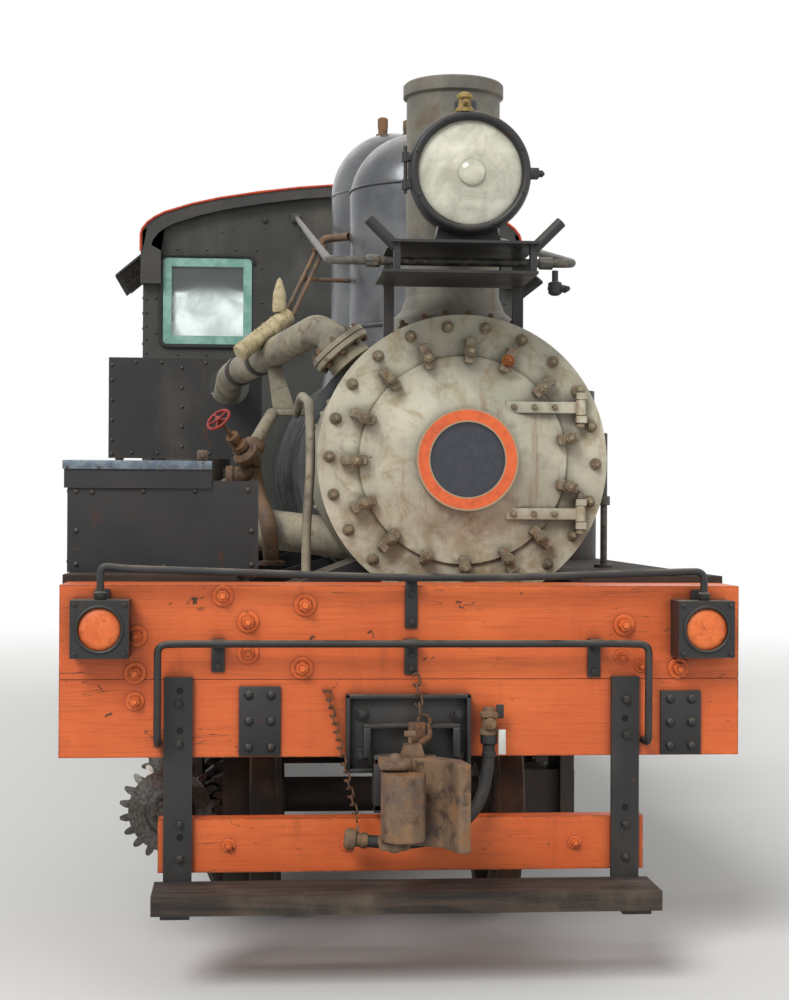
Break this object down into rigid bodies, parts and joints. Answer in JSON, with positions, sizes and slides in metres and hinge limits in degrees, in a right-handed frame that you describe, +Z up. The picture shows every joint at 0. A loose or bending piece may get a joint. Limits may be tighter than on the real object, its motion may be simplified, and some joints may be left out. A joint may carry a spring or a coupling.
{
  "type": "geared steam locomotive",
  "caption": "Narrow-gauge geared steam locomotive with offset boiler, upright side engine, side shafts with bevel gears, swivelling trucks, cab and bunker.",
  "frame": {"origin": "centre of the track gauge at mid-length, at the lowest points of the wheel flanges", "axes": "+Z up, -Y towards the smokebox end, +X to the side without the engine"},
  "size_m": [2.98, 11.64, 3.911],
  "materials": {
    "beam_paint": "chipped and weathered orange paint on timber",
    "black_iron": "weathered black paint on iron",
    "worn_iron": "oily dark cast iron",
    "rusty_iron": "brown rust on cast iron",
    "wheel_steel": "worn steel with rust on the webs",
    "machined_steel": "oiled machined steel",
    "smokebox_grey": "weathered heat-proof grey with rust streaks",
    "jacket": "dark graphite sheet with a soft gloss",
    "pipe_grey": "grey weathered casting",
    "plate_ring": "orange ring round a dark disc",
    "lens": "frosted cream glass",
    "glass": "window glass",
    "cab_dark": "dark olive black paint",
    "mint_wood": "mint green painted window frames",
    "old_wood": "dark weathered plank",
    "roof": "dark roof sheet with a red edge",
    "hose": "black rubber hose"
  },
  "bodies": {
    "root": {"air_hose": "hose", "air_hose_fittings": "rusty_iron", "air_pump": "worn_iron", "air_reservoir": "black_iron", "awnings": "roof", "boiler": "jacket", "bunker": "black_iron", "cab_floor": "old_wood", "cab_front": "cab_dark", "cab_roof": "roof", "cab_walls": "cab_dark", "connecting_rods": "machined_steel", "coupler_heads": "rusty_iron", "coupler_pockets": "black_iron", "crankshaft": "machined_steel", "dome_front": "jacket", "dome_rear": "jacket", "end_beams": "beam_paint", "engine_cylinders": "worn_iron", "engine_frame": "worn_iron", "engine_shield": "black_iron", "exhaust_pipe": "pipe_grey", "footboard_planks": "old_wood", "footboard_straps": "black_iron", "grab_irons": "black_iron", "handrails": "black_iron", "headlight": "black_iron", "headlight_shelf": "black_iron", "lamp_lenses": "lens", "main_frame": "black_iron", "marker_lamps": "black_iron", "running_boards": "old_wood", "smokebox": "smokebox_grey", "stack": "black_iron", "steam_pipe": "pipe_grey", "toolbox": "black_iron", "window_frames": "mint_wood", "window_glass": "glass"},
    "truck_front": {"truck_frame_front": "worn_iron", "truck_springs_front": "worn_iron"},
    "truck_rear": {"truck_frame_rear": "worn_iron", "truck_springs_rear": "worn_iron"},
    "wheels_1": {"wheelset_1": "wheel_steel"},
    "wheels_2": {"wheelset_2": "wheel_steel"},
    "wheels_3": {"wheelset_3": "wheel_steel"},
    "wheels_4": {"wheelset_4": "wheel_steel"},
    "line_shaft_front": {"side_shaft_front": "machined_steel"},
    "line_shaft_rear": {"side_shaft_rear": "machined_steel"},
    "drive_bar_front": {"slip_bar_front": "machined_steel"},
    "drive_sleeve_front": {"slip_sleeve_front": "machined_steel"},
    "drive_bar_rear": {"slip_bar_rear": "machined_steel"},
    "drive_sleeve_rear": {"slip_sleeve_rear": "machined_steel"},
    "smokebox_door": {"smokebox_door": "smokebox_grey", "number_plate": "plate_ring", "door_clamps": "smokebox_grey"},
    "toolbox_lid": {"toolbox_lid": "black_iron"},
    "knuckle_front": {"knuckle_front": "rusty_iron"},
    "knuckle_rear": {"knuckle_rear": "rusty_iron"},
    "bunker_hatch": {"bunker_hatch": "black_iron"}
  },
  "joints": [
    {"name": "front_truck_swivel", "type": "hinge", "parent": "root", "child": "truck_front", "pos_m": [0, -3.5, 0.96], "axis": [0, 0, 1], "range_deg": [-5, 5]},
    {"name": "rear_truck_swivel", "type": "hinge", "parent": "root", "child": "truck_rear", "pos_m": [0, 3.5, 0.96], "axis": [0, 0, 1], "range_deg": [-5, 5]},
    {"name": "wheels_1_spin", "type": "hinge", "parent": "truck_front", "child": "wheels_1", "pos_m": [0, -4.211, 0.482], "axis": [1, 0, 0], "continuous": true},
    {"name": "wheels_2_spin", "type": "hinge", "parent": "truck_front", "child": "wheels_2", "pos_m": [0, -2.789, 0.482], "axis": [1, 0, 0], "continuous": true},
    {"name": "wheels_3_spin", "type": "hinge", "parent": "truck_rear", "child": "wheels_3", "pos_m": [0, 2.789, 0.482], "axis": [1, 0, 0], "continuous": true},
    {"name": "wheels_4_spin", "type": "hinge", "parent": "truck_rear", "child": "wheels_4", "pos_m": [0, 4.211, 0.482], "axis": [1, 0, 0], "continuous": true},
    {"name": "front_line_shaft_spin", "type": "hinge", "parent": "truck_front", "child": "line_shaft_front", "pos_m": [-0.86, -3.5, 0.482], "axis": [0, 1, 0], "continuous": true},
    {"name": "rear_line_shaft_spin", "type": "hinge", "parent": "truck_rear", "child": "line_shaft_rear", "pos_m": [-0.86, 3.5, 0.482], "axis": [0, 1, 0], "continuous": true},
    {"name": "front_drive_swing", "type": "hinge", "parent": "root", "child": "drive_bar_front", "pos_m": [-0.86, -2.005, 0.482], "axis": [0, 0, 1], "range_deg": [-7.68, 7.68]},
    {"name": "front_drive_slide", "type": "slide", "parent": "drive_bar_front", "child": "drive_sleeve_front", "axis": [0, -1, 0], "range_m": [-0.0754, 0.0754]},
    {"name": "rear_drive_swing", "type": "hinge", "parent": "root", "child": "drive_bar_rear", "pos_m": [-0.86, -0.435, 0.482], "axis": [0, 0, 1], "range_deg": [-2.35, 2.35]},
    {"name": "rear_drive_slide", "type": "slide", "parent": "drive_bar_rear", "child": "drive_sleeve_rear", "axis": [0, 1, 0], "range_m": [-0.0754, 0.0754]},
    {"name": "smokebox_door_hinge", "type": "hinge", "parent": "root", "child": "smokebox_door", "pos_m": [0.718, -4.904, 1.868], "axis": [0, 0, 1], "range_deg": [0, 110]},
    {"name": "toolbox_lid_hinge", "type": "hinge", "parent": "root", "child": "toolbox_lid", "pos_m": [-0.98, -4.086, 1.792], "axis": [1, 0, 0], "range_deg": [-80, 0]},
    {"name": "front_knuckle_pin", "type": "hinge", "parent": "root", "child": "knuckle_front", "pos_m": [-0.058, -5.7, 0.68], "axis": [0, 0, 1], "range_deg": [-35, 0]},
    {"name": "rear_knuckle_pin", "type": "hinge", "parent": "root", "child": "knuckle_rear", "pos_m": [0.058, 5.7, 0.68], "axis": [0, 0, 1], "range_deg": [-35, 0]},
    {"name": "bunker_hatch_hinge", "type": "hinge", "parent": "root", "child": "bunker_hatch", "pos_m": [0, 4.804, 2.842], "axis": [1, 0, 0], "range_deg": [-100, 0]}
  ],
  "couplings": [
    {"joint": "wheels_2_spin", "follows": "wheels_1_spin", "ratio": 1},
    {"joint": "front_line_shaft_spin", "follows": "wheels_1_spin", "ratio": 2.05},
    {"joint": "wheels_4_spin", "follows": "wheels_3_spin", "ratio": 1},
    {"joint": "rear_line_shaft_spin", "follows": "wheels_3_spin", "ratio": 2.05},
    {"joint": "front_drive_swing", "follows": "front_truck_swivel", "ratio": -1.5253},
    {"joint": "front_drive_slide", "follows": "front_truck_swivel", "m_per_rad": 0.86},
    {"joint": "rear_drive_swing", "follows": "rear_truck_swivel", "ratio": -0.46025},
    {"joint": "rear_drive_slide", "follows": "rear_truck_swivel", "m_per_rad": -0.86}
  ]
}
